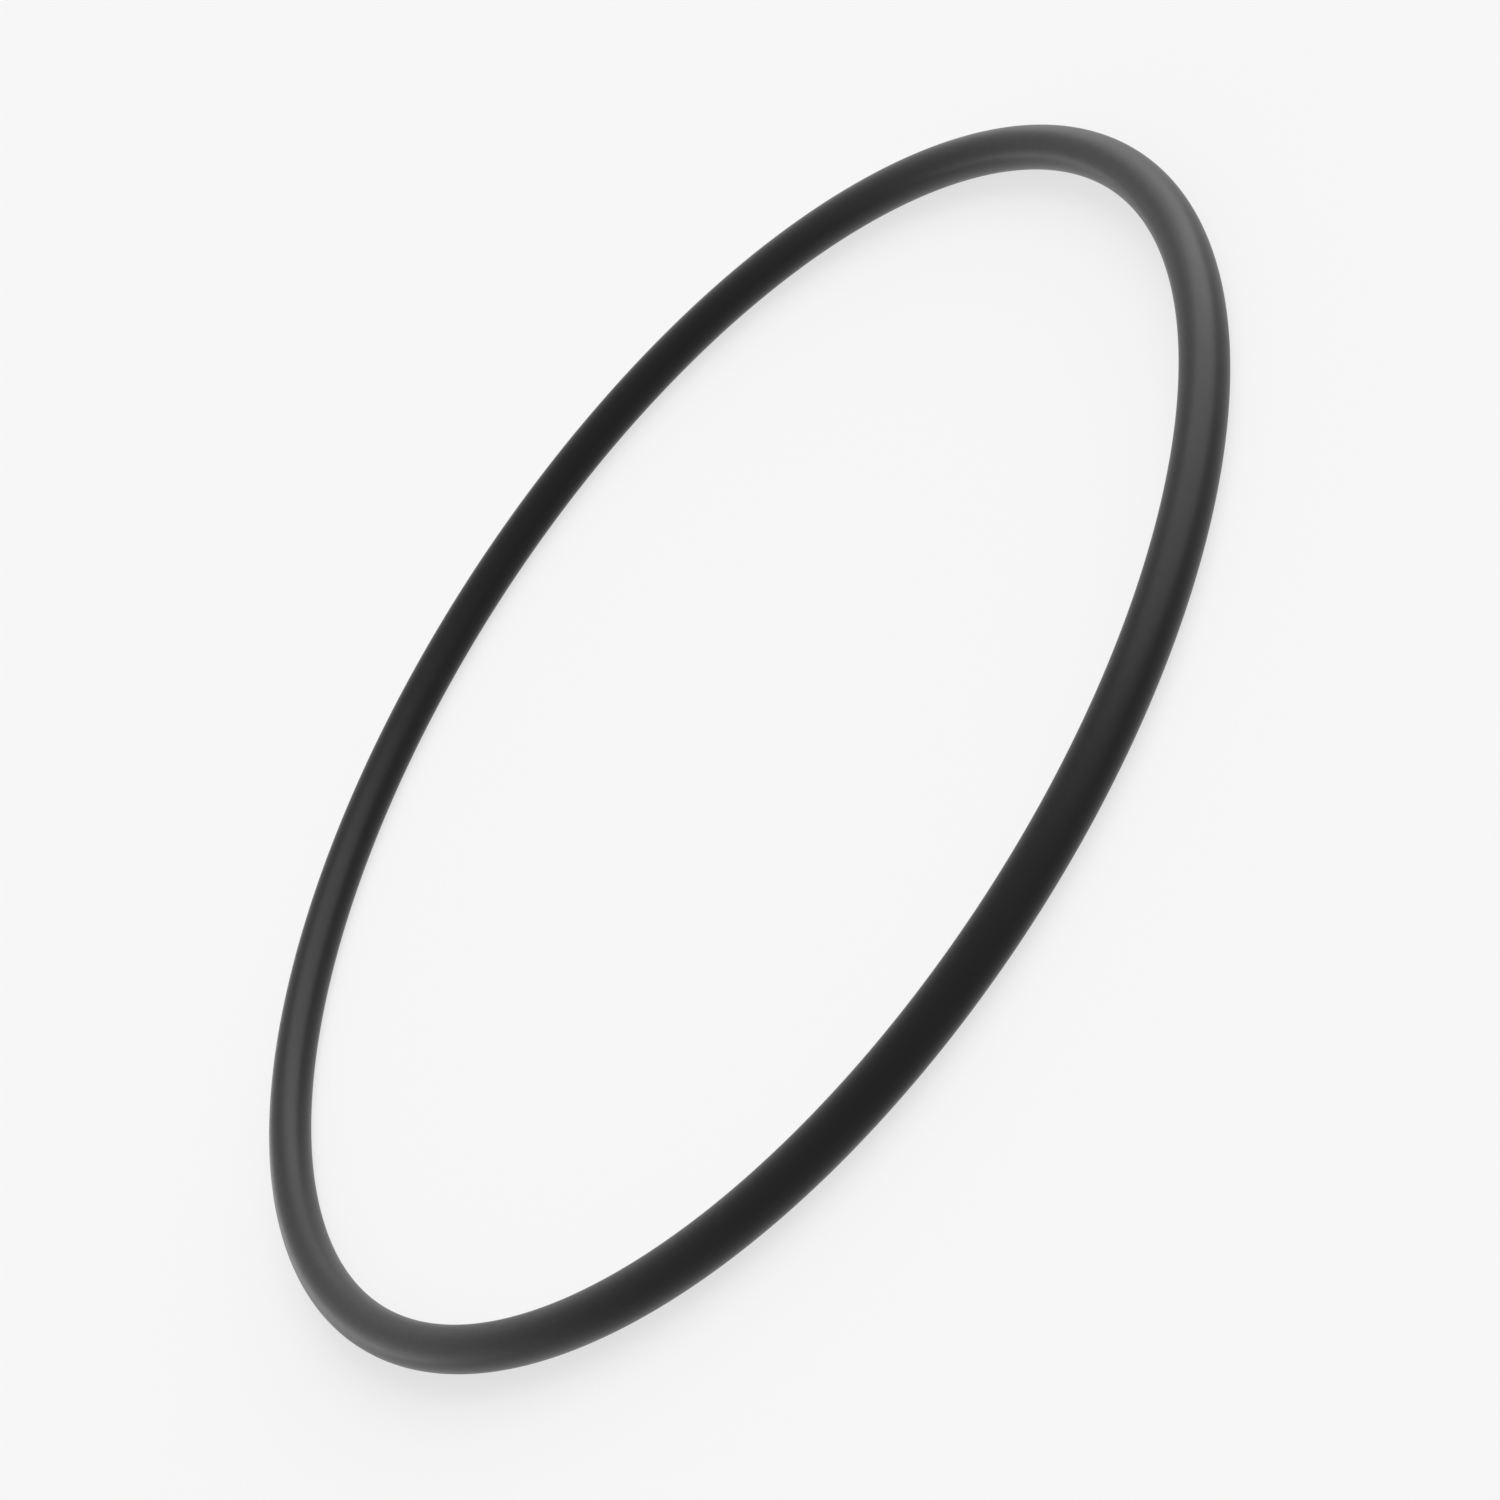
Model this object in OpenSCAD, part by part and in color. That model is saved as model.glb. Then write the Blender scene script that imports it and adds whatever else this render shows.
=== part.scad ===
// O-ring: a rubber seal moulded in one piece, lying flat as it does on a bench.
// The origin is the middle of the ring, halfway up its section, and +Z is the ring's axis.
// Sizes are in millimetres and are those of the ring at rest, neither stretched nor squeezed.

/* [Ring] */
// Inside diameter, across the hole at its narrowest
inside_d = 75.87; // [10:0.01:200]

/* [Section] */
// Diameter of the round section
section_d = 2.62; // [1:0.01:7]

/* [Hidden] */
// Radius of the circle that runs through the middle of the section
mean_r = (inside_d + section_d) / 2;
// Steps once round the section
section_steps = 64;
// Steps once round the ring
ring_steps = 360;
// Near-black of the rubber
rubber_black = [0.14, 0.14, 0.14];

// The section is a full circle, as a mould cut half into each of its two plates leaves it
module section() {
    circle(d = section_d, $fn = section_steps);
}

// The seal is that section turned about the ring's axis at the mean radius
module o_ring() {
    color(rubber_black)
        rotate_extrude($fn = ring_steps)
            translate([mean_r, 0])
                section();
}

o_ring();
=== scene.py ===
# %% [markdown]
# # A rubber o-ring, lying on a pale bench
#
# The object is a seal: one closed ring of black rubber with a round section, moulded in one
# piece. It has no joint, no core and no moving part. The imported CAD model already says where
# the ring lies and how large it is, so this lesson starts from that model and never moves it.
# What is left to Blender is how the ring looks: a truly round surface, the satin skin that
# rubber takes from its mould, and the soft light of a small photo studio.

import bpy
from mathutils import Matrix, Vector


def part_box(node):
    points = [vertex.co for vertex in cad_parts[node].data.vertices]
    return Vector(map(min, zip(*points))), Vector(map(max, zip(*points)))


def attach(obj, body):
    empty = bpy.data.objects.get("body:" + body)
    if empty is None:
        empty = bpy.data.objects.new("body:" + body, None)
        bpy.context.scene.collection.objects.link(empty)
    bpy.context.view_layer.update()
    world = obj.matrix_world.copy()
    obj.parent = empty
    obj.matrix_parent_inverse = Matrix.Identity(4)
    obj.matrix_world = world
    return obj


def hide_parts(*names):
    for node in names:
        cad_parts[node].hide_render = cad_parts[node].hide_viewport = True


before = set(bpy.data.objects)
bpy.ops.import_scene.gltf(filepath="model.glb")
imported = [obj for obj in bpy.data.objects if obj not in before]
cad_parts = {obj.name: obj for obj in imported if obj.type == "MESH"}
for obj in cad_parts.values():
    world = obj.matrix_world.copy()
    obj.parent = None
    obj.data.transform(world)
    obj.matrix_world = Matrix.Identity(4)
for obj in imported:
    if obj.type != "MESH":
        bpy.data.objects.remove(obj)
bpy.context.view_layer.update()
print("solids in the packed model:", sorted(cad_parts))

# %% [markdown]
# ## How large the ring is
#
# A ring of this kind has only two sizes: the diameter of its round section, and the diameter
# of the circle that the section is carried round. Both can be read from the box of the CAD
# solid. That solid is a fan of flat facets, so its box is a hair smaller than the true ring.
# The ring here is made to the box and not to the catalogue size, because the dressed part
# must stay inside the solid that it stands for.

# %% Read the ring's two sizes from its solid
import math

import bpy
import numpy as np
from mathutils import Matrix, Vector

MM = 0.001
ring_low, ring_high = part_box("o_ring")
section_radius = min(ring_high.z, -ring_low.z)
outer_radius = min(ring_high.x, -ring_low.x, ring_high.y, -ring_low.y)
middle_radius = outer_radius - section_radius
print("section diameter", round(2 * section_radius / MM, 3), "mm")
print("outside diameter", round(2 * outer_radius / MM, 3), "mm")
print("hole diameter", round(2 * (middle_radius - section_radius) / MM, 3), "mm")

# %% [markdown]
# ## The camera
#
# The picture looks down on the ring at a low angle, so the circle shows as a slim oval. The
# far side of the ring looks thinner than the near side, which tells how close the camera
# stood: a little over two diameters away. The camera is also rolled, so that the oval leans
# to the right. The view could be faked by turning the ring, but then it would no longer lie
# in the frame of the CAD model. So the ring stays flat on the bench and the camera does all
# the tilting.

# %% Stand the camera where the photograph was taken
camera_distance = 193.76 * MM
degrees_above_the_bench = 25.95
degrees_of_roll = -56.77
point_looked_at = Vector((0, -7.478 * MM, 0))
lens_length = 80.42
film_width = 36.0
nearest_seen = 10 * MM
farthest_seen = 20.0


def direction(around, above):
    """A unit vector. Around is 0 on the near side and 90 on the right; above is from level."""
    around, above = math.radians(around), math.radians(above)
    return Vector((
        math.sin(around) * math.cos(above),
        -math.cos(around) * math.cos(above),
        math.sin(above),
    ))


def facing(place, target):
    """The turn that makes a camera or a lamp at place look at target."""
    return (target - place).to_track_quat("-Z", "Y").to_matrix().to_4x4()


camera_place = direction(0, degrees_above_the_bench) * camera_distance
camera_data = bpy.data.cameras.new("photo_camera")
camera_data.lens = lens_length
camera_data.sensor_width = film_width
camera_data.clip_start = nearest_seen
camera_data.clip_end = farthest_seen
camera = bpy.data.objects.new("photo_camera", camera_data)
camera.matrix_world = (
    Matrix.Translation(camera_place)
    @ facing(camera_place, point_looked_at)
    @ Matrix.Rotation(math.radians(degrees_of_roll), 4, "Z")
)
bpy.context.scene.collection.objects.link(camera)
bpy.context.scene.camera = camera
print("camera at", [round(c / MM, 1) for c in camera_place], "mm")

# %% [markdown]
# ## The bench top
#
# The ring lies on a plain pale surface. A diffuse floor alone would take every small
# unevenness of the lamps, and the background would not come out as one even tone. A floor
# that only glows would be even, but it would lose the ring's shadow. So the floor is a mix:
# to the camera, three quarters of it is plain glow and one quarter is lit for real, which
# leaves a faint soft shadow beside the rubber. Rays that are mirrored in the rubber see the
# glow alone, as plain white, because it is this pale surround that lights up the ring's edges.
# So would rays that have passed through glass, though there is none here.

# %% Make the bench top
pale_level = 0.93
white_level = 1.0
glow_for_camera = 0.75
bench_half_size = 4.0


def add(tree, kind, **settings):
    """A node of one kind in a tree, with its settings."""
    node = tree.nodes.new(kind)
    for name, value in settings.items():
        setattr(node, name, value)
    return node


def glow_by_ray(tree, for_camera):
    """How much of a surface is glow, and how strong that glow is, by the ray that looks at it."""
    ray = add(tree, "ShaderNodeLightPath")
    mirrored = add(tree, "ShaderNodeMath", operation="ADD", use_clamp=True)
    tree.links.new(ray.outputs["Is Glossy Ray"], mirrored.inputs[0])
    tree.links.new(ray.outputs["Is Transmission Ray"], mirrored.inputs[1])
    share = add(tree, "ShaderNodeMath", operation="MULTIPLY_ADD")
    share.inputs[1].default_value = for_camera
    tree.links.new(ray.outputs["Is Camera Ray"], share.inputs[0])
    tree.links.new(mirrored.outputs[0], share.inputs[2])
    level = add(tree, "ShaderNodeMix", data_type="FLOAT")
    level.inputs["A"].default_value = pale_level
    level.inputs["B"].default_value = white_level
    tree.links.new(mirrored.outputs[0], level.inputs["Factor"])
    return share.outputs[0], level.outputs["Result"]


bench_paint = bpy.data.materials.new("pale_bench")
bench_paint.use_nodes = True
tree = bench_paint.node_tree
tree.nodes.clear()
share, level = glow_by_ray(tree, glow_for_camera)
lit = add(tree, "ShaderNodeBsdfDiffuse")
lit.inputs["Color"].default_value = (pale_level, pale_level, pale_level, 1.0)
glow = add(tree, "ShaderNodeEmission")
tree.links.new(level, glow.inputs["Strength"])
mix = add(tree, "ShaderNodeMixShader")
tree.links.new(share, mix.inputs[0])
tree.links.new(lit.outputs[0], mix.inputs[1])
tree.links.new(glow.outputs[0], mix.inputs[2])
tree.links.new(mix.outputs[0], add(tree, "ShaderNodeOutputMaterial").inputs["Surface"])

corners = [(x * bench_half_size, y * bench_half_size, -section_radius)
           for x, y in ((-1, -1), (1, -1), (1, 1), (-1, 1))]
bench_mesh = bpy.data.meshes.new("bench_top")
bench_mesh.from_pydata(corners, [], [(0, 1, 2, 3)])
bench_mesh.materials.append(bench_paint)
bench = bpy.data.objects.new("bench_top", bench_mesh)
bpy.context.scene.collection.objects.link(bench)
print("bench top at", round(-section_radius / MM, 3), "mm, under the ring")

# %% [markdown]
# ## The lamps and the room
#
# Black rubber has almost no colour of its own to show. What gives it form is what it
# mirrors: a pale room all round, and a large soft lamp that draws the broad highlight.
#
# The lamps are suns with a very wide disc. A sun with a disc of eighty degrees lights
# things as a soft box as large as a window would, but it lights every part of the bench
# alike, so the background stays even from edge to edge. A single disc has a hard rim, which
# the satin skin would show as a line along the ring. So the window on the right is two discs,
# one inside the other, and the light fades towards its rim. A third one stands low behind the
# ring, most of it hidden by the bench, and lifts the edges that face away from the window.
#
# The room fills in the rest. How much that is follows from the lamps: what they and the room
# give a surface lying flat adds up to one, so that it shows its own colour. A disc's part in
# it is summed over small pieces of the disc, those above the bench only, each counting for
# less the lower it stands.

# %% Hang the soft lamps
soft_lamps = {
    # name: (around, above, width of its disc, strength), in degrees and watts a square metre
    "window_on_the_right": (91.0, 27.0, 80.0, 2.9),
    "wide_rim_of_the_window": (87.0, 3.0, 144.0, 1.6),
    "low_light_behind": (-143.0, -32.0, 84.0, 3.0),
}


def given_to_the_bench(above, width, watts, steps=200):
    """The light from the part of a disc that stands above the bench, as a share of one."""
    edge = math.radians(width / 2)
    high = math.radians(above)
    off_axis = (np.arange(steps)[:, None] + 0.5) / steps * edge
    turn = (np.arange(steps)[None, :] + 0.5) / steps * math.tau
    height = (np.cos(off_axis) * math.sin(high)
              + np.sin(off_axis) * np.cos(turn) * math.cos(high))
    small_part = np.sin(off_axis) * (edge / steps) * (math.tau / steps)
    brightness = watts / (math.pi * math.sin(edge) ** 2)
    return float(brightness * (np.maximum(height, 0) * small_part).sum() / math.pi)


given = {}
for name, (around, above, width, watts) in soft_lamps.items():
    lamp_data = bpy.data.lights.new(name, "SUN")
    lamp_data.energy = watts
    lamp_data.angle = math.radians(width)
    lamp = bpy.data.objects.new(name, lamp_data)
    lamp_place = direction(around, above)
    lamp.matrix_world = Matrix.Translation(lamp_place) @ facing(lamp_place, Vector())
    bpy.context.scene.collection.objects.link(lamp)
    given[name] = given_to_the_bench(above, width, watts)
    print(name, "gives", round(given[name], 3), "on the bench")

# %% [markdown]
# The room uses the same switch as the bench. The camera sees it as pale as the bench, and the
# rubber mirrors it as white. Only the light that it sheds on things is turned down, to what
# the lamps leave over.

# %% Light the room
room_light = 1 - sum(given.values())
room = bpy.data.worlds.new("pale_room")
room.use_nodes = True
bpy.context.scene.world = room
tree = room.node_tree
share, level = glow_by_ray(tree, 1.0)
strength = add(tree, "ShaderNodeMix", data_type="FLOAT")
tree.links.new(share, strength.inputs["Factor"])
strength.inputs["A"].default_value = room_light
tree.links.new(level, strength.inputs["B"])
walls = tree.nodes["Background"]
walls.inputs["Color"].default_value = (1.0, 1.0, 1.0, 1.0)
tree.links.new(strength.outputs["Result"], walls.inputs["Strength"])
print("the room gives", round(room_light, 3), "of the light on the bench")

# %% [markdown]
# ## The ring
#
# The real ring is pressed in a mould whose two plates each hold a half-round groove, so its
# shape follows one rule: a circle carried round a larger circle. A torus primitive would give
# nearly the same mesh, but as a frozen list of points. Geometry Nodes keep the rule itself:
# one curve for the middle line of the ring, one for its section, and a node that carries the
# section along the middle line. Both sizes are named inputs, so the same tree makes any ring
# of the family.

# %% Write the rule for a ring as a node tree
def ring_tree():
    """Geometry Nodes that carry a round section along a circle."""
    made = bpy.data.node_groups.new("ring_from_a_round_section", "GeometryNodeTree")
    face = made.interface
    for name, kind in (
        ("Middle Radius", "NodeSocketFloat"),
        ("Section Radius", "NodeSocketFloat"),
        ("Steps Round The Ring", "NodeSocketInt"),
        ("Steps Round The Section", "NodeSocketInt"),
        ("Skin", "NodeSocketMaterial"),
    ):
        face.new_socket(name, in_out="INPUT", socket_type=kind)
    face.new_socket("Ring", in_out="OUTPUT", socket_type="NodeSocketGeometry")
    size = add(made, "NodeGroupInput")
    middle_line = add(made, "GeometryNodeCurvePrimitiveCircle")
    made.links.new(size.outputs["Middle Radius"], middle_line.inputs["Radius"])
    made.links.new(size.outputs["Steps Round The Ring"], middle_line.inputs["Resolution"])
    section = add(made, "GeometryNodeCurvePrimitiveCircle")
    made.links.new(size.outputs["Section Radius"], section.inputs["Radius"])
    made.links.new(size.outputs["Steps Round The Section"], section.inputs["Resolution"])
    carried = add(made, "GeometryNodeCurveToMesh")
    made.links.new(middle_line.outputs["Curve"], carried.inputs["Curve"])
    made.links.new(section.outputs["Curve"], carried.inputs["Profile Curve"])
    smooth = add(made, "GeometryNodeSetShadeSmooth")
    made.links.new(carried.outputs["Mesh"], smooth.inputs["Geometry"])
    real = add(made, "GeometryNodeRealizeInstances")
    made.links.new(smooth.outputs["Geometry"], real.inputs["Geometry"])
    skin = add(made, "GeometryNodeSetMaterial")
    made.links.new(real.outputs["Geometry"], skin.inputs["Geometry"])
    made.links.new(size.outputs["Skin"], skin.inputs["Material"])
    end = add(made, "NodeGroupOutput")
    made.links.new(skin.outputs["Geometry"], end.inputs["Ring"])
    return made


ring_rule = ring_tree()
print("the rule takes", [s.name for s in ring_rule.interface.items_tree if s.in_out == "INPUT"])

# %% [markdown]
# ## The skin of the rubber
#
# Seal rubber is black right through, coloured by soot. Its surface is a print of the mould:
# steel that was turned, polished and then dulled a little, so the skin is satin, neither
# shiny nor chalky. Three things break it up at close range. The finest is the grain of the
# dulled steel, under a tenth of a millimetre. Next come shallow swells where the rubber
# shrank as it cooled. The widest is a faint clouding of the gloss, from the release agent
# wiped through the mould. A photographed texture would stretch round so thin a ring, so all
# three are noise in the ring's own space, at their true size in metres.
#
# Roughness, colour and bump take their pattern from nodes. The numbers that are the same all
# over sit on the shader itself. The refractive index is that of rubber. The tint of the
# mirrored light is a dark grey, because with none the ring came out greyer than in the
# photograph. Soot at the very surface may be what swallows that light. The tint holds only
# where the skin is seen face on, so the edges stay bright and the ring keeps its dark middle.

# %% Mix the rubber
soot_black = (0.0020, 0.0020, 0.0020, 1.0)
soot_black_worn = (0.0032, 0.0032, 0.0032, 1.0)
satin_low, satin_high = 0.38, 0.43
not_a_metal = 0.0
rubber_index = 1.5
sooty_tint = (0.375, 0.375, 0.375, 1.0)
grain_size, grain_depth = 0.09 * MM, 0.005 * MM
swell_size, swell_depth = 1.1 * MM, 0.010 * MM
cloud_size = 9.0 * MM
noise_low, noise_high = 0.3, 0.7


def pattern(tree, place, size, detail, roughness):
    """Noise whose features are about size across, in the ring's own space."""
    noise = add(tree, "ShaderNodeTexNoise", noise_dimensions="3D")
    noise.inputs["Scale"].default_value = 1 / size
    noise.inputs["Detail"].default_value = detail
    noise.inputs["Roughness"].default_value = roughness
    tree.links.new(place, noise.inputs["Vector"])
    return noise.outputs["Fac"]


def spread(tree, value, low, high):
    """Stretches a noise, which mostly keeps between its own low and high, to low to high."""
    remap = add(tree, "ShaderNodeMapRange")
    remap.inputs["From Min"].default_value = noise_low
    remap.inputs["From Max"].default_value = noise_high
    remap.inputs["To Min"].default_value = low
    remap.inputs["To Max"].default_value = high
    tree.links.new(value, remap.inputs["Value"])
    return remap.outputs["Result"]


def pressed_in(tree, height, depth, under=None):
    """A bump of that depth in metres, on top of another one."""
    bump = add(tree, "ShaderNodeBump")
    bump.inputs["Distance"].default_value = depth
    tree.links.new(height, bump.inputs["Height"])
    if under is not None:
        tree.links.new(under, bump.inputs["Normal"])
    return bump.outputs["Normal"]


rubber = bpy.data.materials.new("satin_black_rubber")
rubber.use_nodes = True
tree = rubber.node_tree
body = tree.nodes["Principled BSDF"]
body.inputs["IOR"].default_value = rubber_index
body.inputs["Specular Tint"].default_value = sooty_tint
body.inputs["Metallic"].default_value = not_a_metal

place = add(tree, "ShaderNodeTexCoord").outputs["Object"]
grain = pattern(tree, place, grain_size, detail=3.0, roughness=0.6)
swell = pattern(tree, place, swell_size, detail=2.0, roughness=0.5)
cloud = pattern(tree, place, cloud_size, detail=3.0, roughness=0.55)

blend = add(tree, "ShaderNodeMix", data_type="RGBA")
ends = {socket.identifier: socket for socket in (*blend.inputs, *blend.outputs)}
ends["A_Color"].default_value = soot_black
ends["B_Color"].default_value = soot_black_worn
tree.links.new(spread(tree, cloud, 0.0, 1.0), ends["Factor_Float"])
tree.links.new(ends["Result_Color"], body.inputs["Base Color"])
tree.links.new(spread(tree, cloud, satin_low, satin_high), body.inputs["Roughness"])
swells = pressed_in(tree, swell, swell_depth)
tree.links.new(pressed_in(tree, grain, grain_depth, swells), body.inputs["Normal"])
print("grain of", grain_size / MM, "mm, swells of", swell_size / MM, "mm")

# %% [markdown]
# ## Make the ring, once
#
# A modifier's input is reached by the identifier of its socket, and is set before Blender
# evaluates the object for the first time. The evaluated ring is then copied to a plain mesh
# and the modifier is dropped, so what is handed on is ordinary geometry in its place.

# %% Make the ring by its rule
steps_round_the_ring = 576
steps_round_the_section = 72
ring = bpy.data.objects.new("rubber_ring", bpy.data.meshes.new("rubber_ring"))
bpy.context.scene.collection.objects.link(ring)
rule = ring.modifiers.new("ring", "NODES")
rule.node_group = ring_rule
sizes = {
    "Middle Radius": middle_radius,
    "Section Radius": section_radius,
    "Steps Round The Ring": steps_round_the_ring,
    "Steps Round The Section": steps_round_the_section,
    "Skin": rubber,
}
for socket in ring_rule.interface.items_tree:
    if socket.in_out == "INPUT":
        rule[socket.identifier] = sizes[socket.name]

now = bpy.context.evaluated_depsgraph_get()
plain = bpy.data.meshes.new_from_object(ring.evaluated_get(now), depsgraph=now)
ring.modifiers.clear()
ring.data = plain
plain.name = "rubber_ring"
print(len(plain.vertices), "points and", len(plain.polygons), "faces")

# %% [markdown]
# A face must look outwards, or the bump would press the wrong way. Whether all faces do can
# be told from one number: the volume that they enclose, which comes out negative when the
# mesh is inside out. It should also be close to the volume of a true ring. The volume is a sum
# of thin pyramids, one from the origin to each triangle, and each is a sixth of the box that
# its three edges span.

# %% Turn the faces outwards and measure the ring
def gathered(items, field, width, kind):
    """One field of all points, faces or corners of a mesh, as rows of that width."""
    row = np.empty(len(items) * width, kind)
    items.foreach_get(field, row)
    return row.reshape(-1, width)


def enclosed(mesh):
    """The volume inside a closed mesh, negative if its faces look inwards."""
    mesh.calc_loop_triangles()
    points = gathered(mesh.vertices, "co", 3, np.float32).astype(float)
    corners = gathered(mesh.loop_triangles, "vertices", 3, np.int32)
    a, b, c = points[corners].transpose(1, 0, 2)
    boxes = (a * np.cross(b, c)).sum()
    return float(boxes / 6)


if enclosed(plain) < 0:
    plain.flip_normals()
true_volume = 2 * math.pi ** 2 * middle_radius * section_radius ** 2
print("volume", round(enclosed(plain) / MM ** 3, 1), "of", round(true_volume / MM ** 3, 1), "mm3")

# %% [markdown]
# ## A flat map of the skin
#
# The noise above needs no map, because it lives in space. But a finish that is baked into
# pictures needs a map that tells where each spot of the skin goes. Blender could unwrap the ring
# by itself, but it would lay a thin hoop on a large square and leave nearly all of the square
# empty. So the skin is slit along the line on which the ring rests, rolled out flat, and cut
# across into six equal lengths that are stacked like planks. Six keeps the picture about as
# sharp along the ring as round its section.
#
# Where the skin is slit, the last face of a row has corners on both ends of the map, and would
# be stretched right across it. So the corners of each face are first brought together, the
# short way round. Every face of this ring has four corners, and the map counts on that.

# %% Roll the skin out flat
planks = 6
margin = 0.006
quarter_turn = 0.25
half_turn = 0.5


def beside_each_other(share):
    """Shares of a turn at the corners of each face, brought to one side of the slit."""
    first = share[:, :1] % 1
    near = first + (share - first + half_turn) % 1 - half_turn
    return near - np.floor(near.mean(axis=1, keepdims=True))


def inset(share, margin):
    """Shrinks 0 to 1 by a margin at both ends."""
    return margin + (1 - 2 * margin) * share


def roll_out(mesh, name):
    """A map that stacks equal lengths of the ring's skin, slit along the ring's underside."""
    points = gathered(mesh.vertices, "co", 3, np.float32).astype(float)
    corners = gathered(mesh.loops, "vertex_index", 1, np.int32).reshape(-1, 4)
    x, y, z = points[corners].transpose(2, 0, 1)
    along = np.arctan2(y, x) / math.tau
    about = np.arctan2(z, np.hypot(x, y) - middle_radius) / math.tau + quarter_turn

    along = beside_each_other(along) * planks
    plank = np.floor(along.mean(axis=1, keepdims=True))
    across = inset(along - plank, margin)
    up = (plank + inset(beside_each_other(about), margin * planks)) / planks
    flat = np.stack([across, up], axis=-1).astype(np.float32)
    mesh.uv_layers.new(name=name).uv.foreach_set("vector", flat.ravel())
    return flat


flat = roll_out(plain, "OFBake")
print("the map runs from", flat.min(axis=(0, 1)).round(3), "to", flat.max(axis=(0, 1)).round(3))
print("widest face on it", (np.ptp(flat, axis=1)).max(axis=0).round(4))

# %% Fasten the ring to the frame
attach(ring, "root")
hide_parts("o_ring")

# %% [markdown]
# ## The last look
#
# The picture is shown with Blender's Standard view, which leaves each colour as it was
# written. The dressed ring must not be larger than the solid.

# %% Show each colour as it was written
bpy.context.scene.view_settings.view_transform = "Standard"
